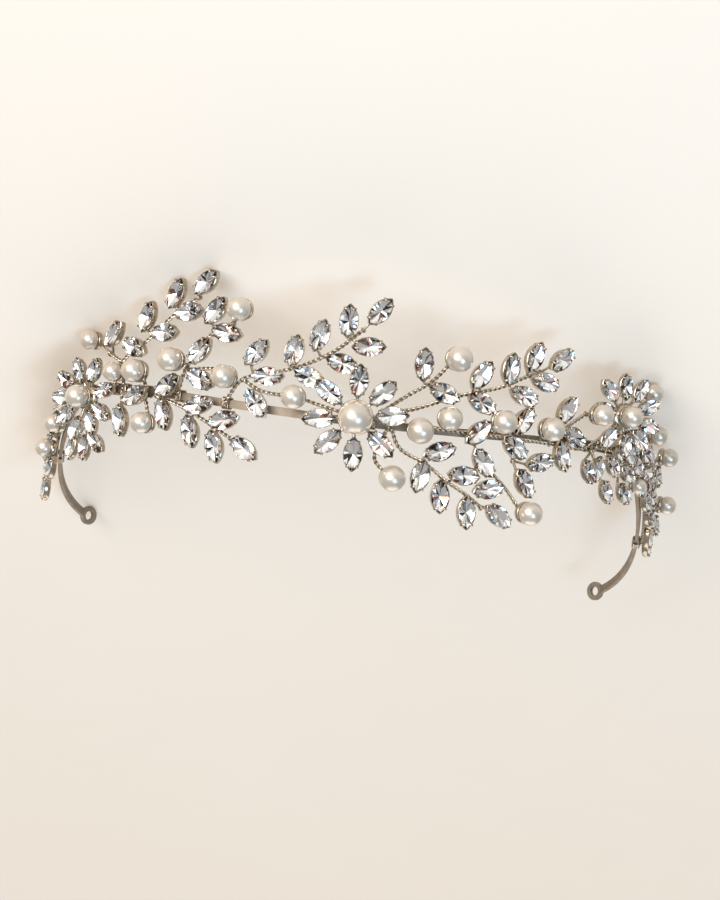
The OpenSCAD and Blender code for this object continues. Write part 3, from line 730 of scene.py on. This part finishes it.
CRYSTAL, tree, s = material("clear_crown")
s["Base Color"].default_value = (1, 1, 1, 1)
s["Transmission Weight"].default_value = 1
s["IOR"].default_value = 1.22
s["Specular IOR Level"].default_value = 1.0
spread(tree, s["Roughness"], 700, 0.0, 0.025)

# a number on each facet of a stone's back picks its colour: most the foil's own white; the grey, dark,
# red and blue ones are painted reflections and glints
FOIL_AND_PAINTED_GLINTS = [
    (0.0, (0.99, 0.99, 0.99)),
    (0.44, (0.93, 0.94, 0.96)),
    (0.56, (0.96, 0.94, 0.91)),
    (0.65, (0.66, 0.67, 0.69)),
    (0.76, (0.34, 0.33, 0.33)),
    (0.85, (0.05, 0.045, 0.045)),
    (0.92, (0.30, 0.12, 0.08)),
    (0.97, (0.38, 0.52, 0.70)),
]
# the silvered back: the foil's own white, with painted reflections and glints picked by each facet's
# number
FOIL_WITH_GLINTS, tree, s = material("silvered_pavilion_painted_glints")
s["Metallic"].default_value = 1
glint_pick = node(tree, "ShaderNodeAttribute", attribute_name="facet")
tree.links.new(ramp(tree, glint_pick.outputs["Fac"], FOIL_AND_PAINTED_GLINTS, "CONSTANT"), s["Base Color"])
spread(tree, s["Roughness"], 1200, 0.03, 0.10)

PEARL, tree, s = material("pearl")
# towards the rim, as the camera sees it, the colour turns lighter and warmer than the body: a painted rim
# reflection, toned down and warmed as painted shade
painted_rim_mask = node(tree, "ShaderNodeLayerWeight")
painted_rim_mask.inputs["Blend"].default_value = 0.45
painted_rim_mix = node(tree, "ShaderNodeMix", data_type="RGBA")
tree.links.new(painted_rim_mask.outputs["Facing"], painted_rim_mix.inputs["Factor"])
mottled(tree, painted_rim_mix.inputs["A"], 260, (0.53, 0.475, 0.40), (0.59, 0.53, 0.455), detail=4)
painted_rim_mix.inputs["B"].default_value = (0.76, 0.65, 0.53, 1)
tree.links.new(painted_rim_mix.outputs["Result"], s["Base Color"])
s["Metallic"].default_value = 0.6
spread(tree, s["Roughness"], 500, 0.29, 0.35)
s["Subsurface Weight"].default_value = 0.15
s["Subsurface Radius"].default_value = (0.0012, 0.0009, 0.0006)
s["Coat Weight"].default_value = 0.35
s["Coat Roughness"].default_value = 0.16
bump(tree, s["Normal"], 900, distance=0.00002, strength=0.2)

FLOOR, tree, s = material("floor_cream")
mottled(tree, s["Base Color"], 3, (0.86, 0.76, 0.65), (0.88, 0.785, 0.68), ends=(0.35, 0.65), detail=5)
spread(tree, s["Roughness"], 60, 0.55, 0.7)

# ---- the pieces --------------------------------------------------------------------------
SHARP = math.radians(35)
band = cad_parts["band"].data
band.materials.clear()
band.materials.append(BAND)
band.polygons.foreach_set("use_smooth", [True] * len(band.polygons))
band.set_sharp_from_angle(angle=SHARP)

for group, parts in GROUPS.items():
    sprig(group, *parts)
    gems(group)
for group, parts in FLOWERS.items():
    flower(group, *parts)
    gems(group)
for name in sorted(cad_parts):
    if name.startswith("pearl_"):
        bead(name)

# ---- camera ------------------------------------------------------------------------------
# focal length in the photo's pixels, distance in mm, roll, and how far the camera looks off the front,
# in pixels to the right and up
FOCAL, DISTANCE, ROLL, AIM = 2430.0, 600.0, math.radians(7), (2.0, -28.0)
PICTURE_H, SENSOR_H = 900, 36
right = np.array([math.cos(ROLL), 0, math.sin(ROLL)])
up = np.array([-math.sin(ROLL), 0, math.cos(ROLL)])
forward = unit(np.array([0, 1.0, 0]) * FOCAL + AIM[0] * right + AIM[1] * up)
right = unit(np.cross(forward, up))
# columns: right, up and back as the camera sees them
axes = LAY @ np.array([right, np.cross(right, forward), -forward]).T
data = bpy.data.cameras.new("camera")
data.sensor_fit = "VERTICAL"
data.sensor_height = SENSOR_H
data.lens = SENSOR_H * FOCAL / PICTURE_H
data.clip_start, data.clip_end = 0.02, 20
camera = bpy.data.objects.new("camera", data)
bpy.context.scene.collection.objects.link(camera)
pose = Matrix(axes.tolist()).to_4x4()
pose.translation = Vector(lay_down([0, -DISTANCE, 0])[0])
camera.matrix_world = pose
bpy.context.scene.camera = camera

# ---- floor and light ---------------------------------------------------------------------
REACH = 4
mesh = bpy.data.meshes.new("floor")
mesh.from_pydata([(-REACH, -REACH, 0), (REACH, -REACH, 0), (REACH, REACH, 0), (-REACH, REACH, 0)], [],
                 [(0, 1, 2, 3)])
floor = bpy.data.objects.new("floor", mesh)
mesh.materials.append(FLOOR)
bpy.context.scene.collection.objects.link(floor)

# where the lamps point, inside the hoop
TARGET = lay_down([0, 30, -4])[0]
# soft lamps: name, way to it as the camera's right, up and back, distance, size, power, colour
LAMPS = [
    ("key", (-0.50, 0.30, 0.85), 1.0, (0.60, 0.55), 9.5, (1.0, 0.98, 0.95)),
    ("front", (-0.15, 0.05, 1.0), 1.5, (1.2, 1.0), 5.2, (1.0, 0.99, 0.98)),
    ("blue", (0.40, -0.42, 0.95), 0.8, (0.28, 0.28), 2.6, (0.40, 0.68, 1.0)),
    ("top", (0.0, -0.95, -0.3), 1.8, (1.8, 1.8), 15.0, (1.0, 0.98, 0.95)),
]
for name, way, distance, size, power, colour in LAMPS:
    light = bpy.data.lights.new(name, "AREA")
    light.shape = "RECTANGLE"
    light.size, light.size_y = size
    light.energy = power
    light.color = colour
    lamp = bpy.data.objects.new(name, light)
    bpy.context.scene.collection.objects.link(lamp)
    spot = Vector((TARGET + unit(axes @ np.array(way)) * distance).tolist())
    lamp.location = spot
    lamp.rotation_euler = (Vector(TARGET.tolist()) - spot).to_track_quat("-Z", "Y").to_euler()

world = bpy.data.worlds.new("world")
bpy.context.scene.world = world
world.use_nodes = True
sky = world.node_tree.nodes["Background"].inputs
sky["Color"].default_value = (0.98, 0.95, 0.91, 1)
sky["Strength"].default_value = 0.42
bpy.context.scene.view_settings.view_transform = "Standard"
